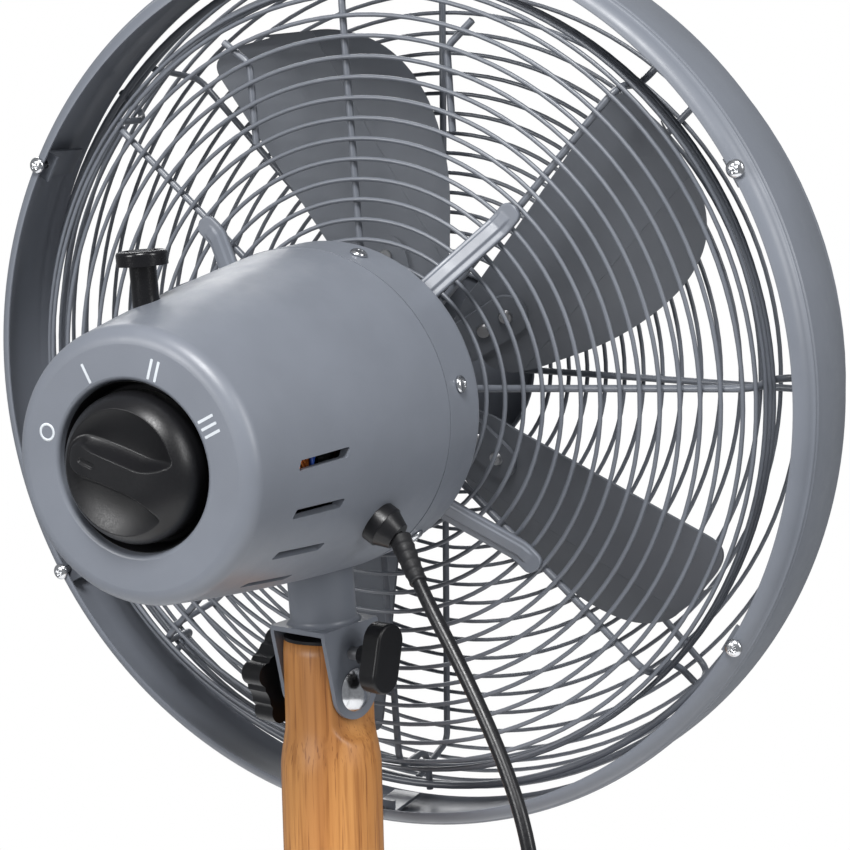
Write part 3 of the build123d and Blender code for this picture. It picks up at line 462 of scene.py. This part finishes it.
# ==================================================================================================
# Mains cord, on the points of the frame's own route
# ==================================================================================================
CORD = 0.003                                # radius, in metres
GLAND_ANGLE, GLAND_REACH, GLAND_BACK = math.radians(-35.5), 81.3, 43.6
mouth = head_point(-GLAND_REACH * math.cos(GLAND_ANGLE), GLAND_BACK,
                   GLAND_REACH * math.sin(GLAND_ANGLE))
upper_route = [mouth] + [post_point(*p) for p in (
    (-92, 37.5, 931), (-119, 42, 900), (-144, 47, 867), (-160, 52, 838), (-164, 52, 800),
    (-152, 47, 762), (-131, 41, 728), (-109, 35, 697), (-88, 29, 664), (-70, 24, 628),
    (-57, 20, 590), (-49, 17, 556),
)]
lower_route = [post_point(*p) for p in (
    (-49, 17, 556), (-45, 16, 522), (-45, 17, 480), (-46, 19, 430), (-50, 22, 380), (-55, 26, 330),
    (-61, 31, 280), (-68, 37, 230), (-76, 44, 180), (-85, 52, 132), (-96, 62, 88), (-111, 74, 50),
    (-131, 88, 22), (-155, 104, 7), (-181, 120, 3.3), (-206, 134, 3.2), (-229, 148, 3.2),
    (-244, 162, 3.2),
)]

COIL_X, COIL_Y = -211.5, 175.0
COIL_TURNS, POINTS_PER_TURN = 2.3, 16
OUTER_TURN, STEP_IN, STEP_OUT = 38.2, 6.6, 3.4
ON_FLOOR, CLIMB = 3.2, 6.2
PLUG_HEIGHT, PLUG_REACH = 7.6, 0.035        # where the cord leaves the coil; the reach in metres


def coil_route():
    """A turn and a third on the floor, stepping in, then one more turn that lies on them."""
    found = []
    steps = round(COIL_TURNS * POINTS_PER_TURN)
    for step in range(1, steps + 1):
        u = COIL_TURNS * step / steps
        a = math.radians(180 - 360 * u)
        radius = OUTER_TURN - STEP_IN * eased(u, 0.66, 0.98) + STEP_OUT * eased(u, 1.5, 1.75)
        height = ON_FLOOR + CLIMB * eased(u, 1.32, 1.62)
        found.append(post_point(COIL_X + radius * math.cos(a), COIL_Y + radius * math.sin(a),
                                height))
    return found


turn_off = math.radians(72)
plug_way = Vector((math.sin(turn_off), -math.cos(turn_off), 0))
leaving = post_point(COIL_X, COIL_Y, PLUG_HEIGHT)
leaving += Vector((math.cos(turn_off), math.sin(turn_off), 0)) * PLUG_REACH
lower_route += coil_route()
lower_route += [leaving + plug_way * run + Vector((0, 0, lift)) for run, lift in
                ((0.014, 0.0012), (0.028, 0.0002), (0.0452, 0.0))]

upper_line = smooth_route(upper_route)
lower_line = smooth_route(lower_route)
cord_upper = piece("mains_cord_upper", *tube(upper_line, CORD), cord_skin, None, "rubber")
cord_lower = piece("mains_cord_lower", *tube(lower_line, CORD), cord_skin, None, "rubber")
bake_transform(cord_upper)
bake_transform(cord_lower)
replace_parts(cord_upper, "cord_upper")
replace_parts(cord_lower, "cord_lower", "cord_coil")


# ==================================================================================================
# Speed knob and dial
# ==================================================================================================
KNOB_TURN, KNOB_BACK, KNOB_RADIUS = -20, 128.0, 30.3
FLAT_TOP, FALL = 10.0, 20.5                 # the dome is level out to here, then falls this far out
RIM_LEVEL, DOME_RISE = 8.0, 15.0
BAR_HALF, BAR_WIDENS = 5.0, 3.6             # half the grip bar's width, and its gain at the tail
BAR_NOSE, BAR_ROUND = 16.5, 4.0             # where its pointer end starts to round, and how much
DISH_RADIUS, DISH_LEVEL, DISH_RISE = 25.2, 14.2, 3.9
FILLET_REACH, FILLET_RISE = 4.6, 9.4        # where the dish runs up into the bar
WALL_SLOPE, WALL_ROUND = 12, 3.4
SLOT_MIDDLE, SLOT_HALF, SLOT_RADIUS, SLOT_DEPTH = 13.2, 2.9, 1.0, 0.55


def knob_height(x, y):
    """Height of the knob's face over its back. The grip bar lies along x and points to -x."""
    r = math.hypot(x, y)
    t = clamp((r - FLAT_TOP) / FALL)
    dome = RIM_LEVEL + DOME_RISE * math.sqrt(1 - t * t)
    half = BAR_HALF + BAR_WIDENS * eased(x, 8, 27)
    past_nose = max(-(x + BAR_NOSE), 0.0)
    past_side = max(abs(y) - (half - BAR_ROUND), 0.0)
    off_bar = math.hypot(past_nose, past_side) - BAR_ROUND
    dish = (DISH_LEVEL + DISH_RISE * (r / DISH_RADIUS) ** 3
            + FILLET_RISE * clamp(1 - off_bar / FILLET_REACH) ** 2)
    dish += WALL_SLOPE * max(0.0, soft_max(r - DISH_RADIUS, -off_bar, WALL_ROUND))
    past_slot = max(abs(x + SLOT_MIDDLE) - SLOT_HALF, 0.0)
    off_slot = math.hypot(past_slot, y) - SLOT_RADIUS
    return min(dome, dish) - SLOT_DEPTH * clamp(0.5 - off_slot / 0.35)


knob_skirt = ((30.5, 7.6), (30.5, 0.6), (29.8, 0.0))
speed_knob = piece("speed_knob_body",
                   *domed(dial_frame(KNOB_TURN, KNOB_BACK), knob_height, KNOB_RADIUS, 110, 260,
                          knob_skirt), black_satin, "speed_knob", "black_plastic")
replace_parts(speed_knob, "speed_knob")

# A dark cup lines the dial's recess: painted shade, a dark sheet that stands in for the shade
# falling deep in the recess
shade_cup_profile = ((5.4, 127.15), (31.6, 127.15), (32.5, 127.5), (32.95, 128.4), (34.2, 134.7),
               (34.3, 134.9), (34.4, 134.7), (33.15, 128.2), (32.7, 127.2), (31.6, 127.04),
               (5.4, 127.04), (5.4, 127.15))
piece("dial_shade_cup", *revolved(dial_frame(0, 0), shade_cup_profile, 160), black_satin, "head",
      "black_plastic")

MARK_BACK, MARK_REACH = 138.01, 41.5
MARK_WIDTH, MARK_STEP, MARK_THICKNESS = 1.15, 3.2, 0.08
LONG_MARK, SHORT_MARK = 8.4, 7.6
CORNER = 0.3
ZERO_ANGLE = 160


def flat_strip(outline, thickness):
    """A thin plate from a closed outline, not yet scaled to metres."""
    count = len(outline)
    points = [Vector((x, y, z)) for z in (0.0, thickness) for x, y in outline]
    faces = [cap(0, count, flip=True), cap(count, count)]
    faces += ring_faces(2, count)
    return points, faces


def stroke(middle_x, middle_y, length, width):
    """Outline of a straight stroke along x with slightly rounded corners."""
    found = []
    for sx, sy, start in ((1, -1, -90), (1, 1, 0), (-1, 1, 90), (-1, -1, 180)):
        for step in range(4):
            a = math.radians(start + 30 * step)
            found.append((middle_x + sx * (length / 2 - CORNER) + CORNER * math.cos(a),
                          middle_y + sy * (width / 2 - CORNER) + CORNER * math.sin(a)))
    return found


for name, angle, count in (("dial_mark_1", 114.5, 1), ("dial_mark_2", 69.5, 2),
                           ("dial_mark_3", 24.5, 3)):
    length = LONG_MARK if count < 3 else SHORT_MARK
    shifts = [(index - (count - 1) / 2) * MARK_STEP for index in range(count)]
    points, faces = joined(flat_strip(stroke(MARK_REACH, shift, length, MARK_WIDTH), MARK_THICKNESS)
                           for shift in shifts)
    place = dial_frame(angle, MARK_BACK)
    piece(name, [place @ (p * MM) for p in points], faces, mark_ink, "head", "black_plastic",
          smooth=False)
zero_place = dial_frame(ZERO_ANGLE, MARK_BACK) @ Matrix.Translation((MARK_REACH * MM, 0, 0))
zero_profile = ((2.6, 0.0), (2.6, 0.07), (3.75, 0.07), (3.75, 0.0), (2.6, 0.0))
piece("dial_mark_0", *revolved(zero_place, zero_profile, 64), mark_ink, "head", "black_plastic")


# ==================================================================================================
# Screw heads with a cross recess
# ==================================================================================================
CROSS_HALF, CROSS_REACH, CROSS_DEPTH = 0.42, 1.75, 0.75
FIRST_TURN, NEXT_TURN = 0.5, 1.1            # how far each screw is turned, in radians


def screw_height(reach, crown):
    def height(x, y):
        r = math.hypot(x, y)
        dome = crown * math.sqrt(clamp(1 - (r / (reach * 1.04)) ** 2.6))
        off_cross = min(max(abs(x) - CROSS_HALF, abs(y) - CROSS_REACH),
                        max(abs(y) - CROSS_HALF, abs(x) - CROSS_REACH))
        return dome - CROSS_DEPTH * clamp(0.5 - off_cross / 0.3)
    return height


def screw_set(name, node, places, reach, crown, shank, depth):
    """Pan-head screws in one piece. Each place is a matrix whose z leaves the head."""
    skirt = ((reach, -0.02), (shank, -0.02), (shank, -depth), (shank * 0.6, -depth - 0.6))
    screws = [domed(place @ Matrix.Rotation(FIRST_TURN + NEXT_TURN * number, 4, "Z"),
                    screw_height(reach, crown), reach, 13, 40, skirt)
              for number, place in enumerate(places)]
    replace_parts(piece(name, *joined(screws), chrome, "head", "chrome"), node)


screw_set("band_screw_set", "band_screws",
          [head_frame(27 + 60 * k, -53.63, 211.6, outward=False) for k in range(6)],
          reach=4.1, crown=2.5, shank=1.95, depth=8.5)
screw_set("cover_screw_set", "cover_screws",
          [head_frame(8 + 60 * k, -9, 74.07) for k in range(6)],
          reach=4.0, crown=2.35, shank=1.9, depth=6.6)


# ==================================================================================================
# Winding overhang and leads behind the cooling slots
# ==================================================================================================
WIRE_STEPS, WIRE_TWIST = 14, 0.22


def bundle(first, last, back, reach, strands, spread, radius):
    """Wires side by side round the inside of the housing, between two angles."""
    wires = []
    for strand in range(strands):
        turn = 2 * math.pi * strand / strands
        line = []
        for step in range(WIRE_STEPS + 1):
            out = outward_at(first + (last - first) * step / WIRE_STEPS)
            wave = noise(Vector((strand * 3.1, step * 0.25, 1.0)))
            deep = reach + spread * math.cos(turn + step * WIRE_TWIST) + wave
            behind = back + spread * math.sin(turn + step * WIRE_TWIST) + wave
            line.append(fan + (out * deep + rearward * behind) * MM)
        wires.append(tube(smooth_route(line), radius * MM, 8))
    return joined(wires)


piece("winding_overhang", *bundle(-16, 12, 96.5, 51.5, 14, 3.4, 0.85), copper_wire, "head",
      "copper")
piece("winding_lead", *bundle(-14, 9, 89.5, 53.5, 2, 1.2, 1.0), blue_skin, "head", "copper")


# ==================================================================================================
# Strain relief: a tapered, ribbed sleeve on the cord's first stretch. Lengths here are in metres.
# ==================================================================================================
SLEEVE_LENGTH, SLEEVE_STEP = 0.026, 0.0006
SLEEVE_RADIUS, SLEEVE_TAPER = 0.0048, 0.0014
RIB_HEIGHT, RIB_PITCH, FIRST_RIB, LAST_RIB = 0.0003, 0.0042, 0.003, 0.023


def sleeve_radius(run):
    ribbed = FIRST_RIB < run < LAST_RIB
    rib = RIB_HEIGHT * max(0.0, math.sin(run / RIB_PITCH * 2 * math.pi)) if ribbed else 0.0
    return SLEEVE_RADIUS - SLEEVE_TAPER * clamp(run / SLEEVE_LENGTH) + rib


def start_of(line, length):
    """The points of a line within this length of its start."""
    found, run = [line[0]], 0.0
    for before, here in zip(line, line[1:]):
        run += (here - before).length
        if run > length:
            break
        found.append(here)
    return found


def divided(line, step):
    found = []
    for before, here in zip(line, line[1:]):
        parts = max(1, round((here - before).length / step))
        found += [before.lerp(here, part / parts) for part in range(parts)]
    return found + [line[-1]]


sleeve_line = divided(start_of(upper_line, SLEEVE_LENGTH), SLEEVE_STEP)
piece("strain_relief", *tube(sleeve_line, sleeve_radius, 24), black_rubber, "head", "rubber")


# ==================================================================================================
# Cage band: rolled sheet with a bead behind the screw flange, as (radius, behind the fan) pairs
# ==================================================================================================
def bead(side, radius, start, depth):
    """The band's rolled bead, outside (side 1) or inside (side -1) of the sheet."""
    return [(radius + side * 0.1 * k + depth * math.sin(math.radians(36 * k)), start + 0.42 * k)
            for k in range(6)]


shoulder = [(210.4 + 4.9 * math.sin(t), -60.1 + 5.15 * math.cos(t))
            for t in [math.radians(10 + 13.5 * k) for k in range(6)]]
band_profile = [(209.2, -53.75), (209.0, -54.3), (209.2, -54.9), (210.3, -54.95)]
band_profile += shoulder
band_profile += [(215.4, -60.6), (216.0, -64.3), (218.7, -99.8), (217.5, -100.6), (217.3, -101.2),
                 (217.5, -101.55), (218.6, -101.5), (219.5, -101.05), (219.93, -100.0),
                 (217.55, -65.0)]
band_profile += bead(1, 217.4, -64.6, 0.62)
band_profile += [(217.5, -62.2)]
band_profile += bead(-1, 217.3, -62.0, 0.55)
band_profile += [(216.5, -59.7), (215.6, -57.9), (214.4, -56.2), (212.7, -54.7), (210.8, -53.8),
                 (209.8, -53.7), (209.2, -53.75)]
cage_band = piece("cage_band_sheet", *revolved(dial_frame(0, 0), band_profile, 240), band_paint,
                  "head", "grey_paint")
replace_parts(cage_band, "cage_band")


# ==================================================================================================
# Brackets: pressed channels with a raised rib, joggled onto the cover
# ==================================================================================================
BRACKET_ANGLES = (45, 135, 225, 315)
BRACKET_HALF, BRACKET_DEPTH = 5.3, 2.9
BRACKET_COLUMNS = 32
END_RADIUS = 4.6                            # of the bracket's round outer end
EDGE_START, EDGE_RADIUS, EDGE_DROP = 4.5, 0.8, 0.5
RIB_HALF, RIB_OFFSET, RIB_RISE = 3.1, 0.7, 0.95
RIB_START, RIB_END, RIB_RUN = 5.0, 61.5, 2.0
# (behind the fan, radius) pairs from the cover outward
bracket_line = [(-28.2, 59.0), (-28.2, 63.0), (-28.2, 67.5), (-28.7, 70.0), (-30.2, 72.6),
                (-36.0, 81.2), (-44.0, 92.3), (-52.6, 104.3), (-54.2, 106.8), (-54.8, 109.6),
                (-54.8, 113.0), (-54.8, 116.0), (-54.8, 118.8)]


def stations_along(line):
    """(behind, radius, distance along) at about every millimetre, and the whole length."""
    run, found = 0.0, []
    for last, here in zip(line, line[1:]):
        size = math.dist(last, here)
        steps = max(1, round(size))
        for step in range(1, steps + 1):
            t = step / steps
            found.append((last[0] + (here[0] - last[0]) * t, last[1] + (here[1] - last[1]) * t,
                          run + t * size))
        run += size
    return found, run


stations, bracket_length = stations_along(bracket_line)


def bracket_rib(w, s):
    """Height of the pressed rib over the bracket's face, across (w) and along (s)."""
    side = clamp(RIB_HALF - abs(w - RIB_OFFSET))
    ends = clamp((s - RIB_START) / RIB_RUN) * clamp((RIB_END - s) / RIB_RUN)
    return RIB_RISE * side * side * (3 - 2 * side) * ends


def bracket_half(left):
    """Half the bracket's width, this far from its round end."""
    if left >= END_RADIUS:
        return BRACKET_HALF
    round_half = math.sqrt(max(END_RADIUS ** 2 - (END_RADIUS - left) ** 2, 0.0))
    return BRACKET_HALF - (END_RADIUS - round_half)


def edge_drop(w, half):
    """How far the face rolls down near its long edges."""
    past = clamp(abs(w) / max(half, 0.1) * BRACKET_HALF - EDGE_START, 0, EDGE_RADIUS)
    return EDGE_DROP * (1 - math.sqrt(clamp(1 - (past / EDGE_RADIUS) ** 2)))


def channel_bracket(angle):
    out = outward_at(angle)
    across = rearward.cross(out)
    points, faces = [], []
    for face_side in (True, False):
        for index, (back, reach, s) in enumerate(stations):
            half = bracket_half(bracket_length - s)
            before = stations[max(index - 1, 0)]
            after = stations[min(index + 1, len(stations) - 1)]
            db, dr = after[0] - before[0], after[1] - before[1]
            normal = (rearward * dr - out * db) / math.hypot(db, dr)
            for column in range(BRACKET_COLUMNS + 1):
                w = half * (2 * column / BRACKET_COLUMNS - 1)
                lift = bracket_rib(w, s) - edge_drop(w, half) if face_side else -BRACKET_DEPTH
                place = out * reach + rearward * back + across * w + normal * lift
                points.append(fan + place * MM)
    row = BRACKET_COLUMNS + 1
    back_side = len(stations) * row
    for index in range(len(stations) - 1):
        for column in range(BRACKET_COLUMNS):
            i = index * row + column
            j = back_side + i
            faces.append((i, i + 1, i + row + 1, i + row))
            faces.append((j, j + row, j + row + 1, j + 1))
        for column in (0, BRACKET_COLUMNS):
            i = index * row + column
            quad = (i, i + row, back_side + i + row, back_side + i)
            faces.append(quad if column == 0 else quad[::-1])
    for index in (0, len(stations) - 1):
        for column in range(BRACKET_COLUMNS):
            i = index * row + column
            quad = (i, back_side + i, back_side + i + 1, i + 1)
            faces.append(quad if index == 0 else quad[::-1])
    return points, faces


brackets = piece("bracket_channels", *joined(channel_bracket(angle) for angle in BRACKET_ANGLES),
                 band_paint, "head", "grey_paint")
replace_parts(brackets, "grille_brackets")


# ==================================================================================================
# Turned post: the round stem runs up into two flats for the yoke's ears
# ==================================================================================================
NECK_RADIUS, FLAT = 20.6, 14.85             # FLAT is half the width over the two flats
POST_SIDES = 144
RUN_OUT, RUN_OUT_STEP = 44, 1.25            # close rings start this far below the bolt
EAR_RINGS, EAR_FOOT = 5, 8                  # the last rings, from just below the bolt
FOOT_RING, END_CHAMFER = 1.2, 0.5
post_low, post_high = (Vector(corner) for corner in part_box("post"))
stem_radius = (post_high.x - post_low.x) / 2 / MM


def post_levels():
    """Heights of the post's rings."""
    first = post_low.z / MM + FOOT_RING
    run_out = bolt.z / MM - RUN_OUT
    ears = bolt.z / MM - EAR_FOOT
    found = [post_low.z / MM, first]
    found += [first + (run_out - first) * k / 12 for k in range(1, 13)]
    found += [run_out + RUN_OUT_STEP * k for k in range(1, 28)]
    found += [ears + (post_high.z - bolt.z) / MM * k / EAR_RINGS + EAR_FOOT * k / EAR_RINGS
              for k in range(EAR_RINGS + 1)]
    top = post_high.z / MM + 0.001
    return [z for z in sorted(set(round(z, 3) for z in found)) if z <= top]


def turned_post():
    levels = post_levels()
    points = []
    for z in levels:
        below = bolt.z / MM - z
        shank = NECK_RADIUS + (stem_radius - NECK_RADIUS) * eased(below, 15.5, 38)
        flat_here = FLAT + (stem_radius + 1.2 - FLAT) * eased(below, 14.4, 31)
        rounding = 0.7 + 0.8 * eased(below, 14, 30)
        for side in range(POST_SIDES):
            a = 2 * math.pi * side / POST_SIDES
            to_flat = flat_here / max(abs(math.cos(a)), 0.05)
            r = min(shank, soft_min(shank, to_flat, rounding))
            r -= END_CHAMFER if z in (levels[0], levels[-1]) else 0.0
            points.append(post_point(r * math.cos(a), r * math.sin(a), z))
    faces = ring_faces(len(levels), POST_SIDES)
    faces.append(cap(0, POST_SIDES, flip=True))
    faces.append(cap(len(points) - POST_SIDES, POST_SIDES))
    return points, faces


post_wood = piece("post_wood", *turned_post(), wood("turned_wood", (0, 0, 1)), "stand", "wood")
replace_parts(post_wood, "post")


# ==================================================================================================
# Camera, lights and floor
# ==================================================================================================
SENSOR, FOCAL_PIXELS, IMAGE_PIXELS = 36.0, 2015, 850
CAMERA_PLACE = Vector((-0.644, 0.598, 1.088))
azimuth, elevation, roll = math.radians(138.13), math.radians(-6.18), math.radians(-1.40)
camera_data = bpy.data.cameras.new("camera")
camera_data.sensor_width = SENSOR
camera_data.lens = SENSOR * FOCAL_PIXELS / IMAGE_PIXELS
camera = bpy.data.objects.new("camera", camera_data)
bpy.context.scene.collection.objects.link(camera)
looking = Vector((math.sin(azimuth) * math.cos(elevation),
                  math.cos(azimuth) * math.cos(elevation), math.sin(elevation)))
level = Vector((math.cos(azimuth), -math.sin(azimuth), 0))
upright = level.cross(looking)
camera_x = level * math.cos(roll) + upright * math.sin(roll)
camera_y = -level * math.sin(roll) + upright * math.cos(roll)
camera.matrix_world = matrix_of(camera_x, camera_y, -looking, CAMERA_PLACE)
bpy.context.scene.camera = camera


def soft_light(name, place, size, power):
    """A soft box that faces the fan."""
    data = bpy.data.lights.new(name, "AREA")
    data.shape = "RECTANGLE"
    data.size, data.size_y = size
    data.energy = power
    obj = bpy.data.objects.new(name, data)
    obj.location = place
    obj.rotation_euler = (fan - Vector(place)).to_track_quat("-Z", "Y").to_euler()
    bpy.context.scene.collection.objects.link(obj)


soft_light("key", (-1.0, 1.3, 2.9), (0.8, 0.8), 80)
soft_light("dial_light", (0.3, 2.8, 1.7), (1.0, 1.0), 46)
soft_light("side_strip", (-2.3, -0.3, 1.9), (0.6, 1.4), 28)
soft_light("rim", (1.7, -1.6, 2.3), (1.2, 1.2), 30)

# The studio's walls are white where the camera sees them, and give less light than that
world = bpy.data.worlds.new("studio")
world.use_nodes = True
tree = world.node_tree
backdrop = tree.nodes["Background"]
backdrop.inputs["Color"].default_value = (1.0, 1.0, 1.0, 1.0)
backdrop.inputs["Strength"].default_value = 1.0
walls = add_node(tree, "ShaderNodeBackground", Color=(0.93, 0.96, 1.0, 1.0), Strength=0.3)
seen = tree.nodes.new("ShaderNodeLightPath")
either = tree.nodes.new("ShaderNodeMixShader")
tree.links.new(seen.outputs["Is Camera Ray"], either.inputs[0])
tree.links.new(walls.outputs[0], either.inputs[1])
tree.links.new(backdrop.outputs[0], either.inputs[2])
tree.links.new(either.outputs[0], tree.nodes["World Output"].inputs["Surface"])
bpy.context.scene.world = world
bpy.context.scene.view_settings.view_transform = "Standard"

# Lengths here are in metres. The floor lies just below the feet, so that they don't flicker on it.
FLOOR_RADIUS, FLOOR_CORNERS, FLOOR_DROP = 1.15, 120, 0.0005
floor_finish, floor_tree, floor_shader = material("floor_finish")
floor_shader.inputs["Roughness"].default_value = 0.8
floor_shader.inputs["Specular IOR Level"].default_value = 0.1
floor_shader.inputs["Emission Color"].default_value = (1.0, 1.0, 1.0, 1.0)
floor_shader.inputs["Emission Strength"].default_value = 0.12
floor_cloud = noise_from(floor_tree, object_coordinates(floor_tree), 0.8, 2)
floor_colour = ramp(floor_tree, floor_cloud, (LOW, (0.86, 0.86, 0.86)), (HIGH, (0.9, 0.9, 0.9)))
floor_tree.links.new(floor_colour, floor_shader.inputs["Base Color"])
floor_turns = [math.radians(360 / FLOOR_CORNERS * k) for k in range(FLOOR_CORNERS)]
floor_rim = [(FLOOR_RADIUS * math.cos(a), post.y + FLOOR_RADIUS * math.sin(a), -FLOOR_DROP)
             for a in floor_turns]
floor = piece("floor", floor_rim, [cap(0, FLOOR_CORNERS)], floor_finish, None, "nylon",
              smooth=False)
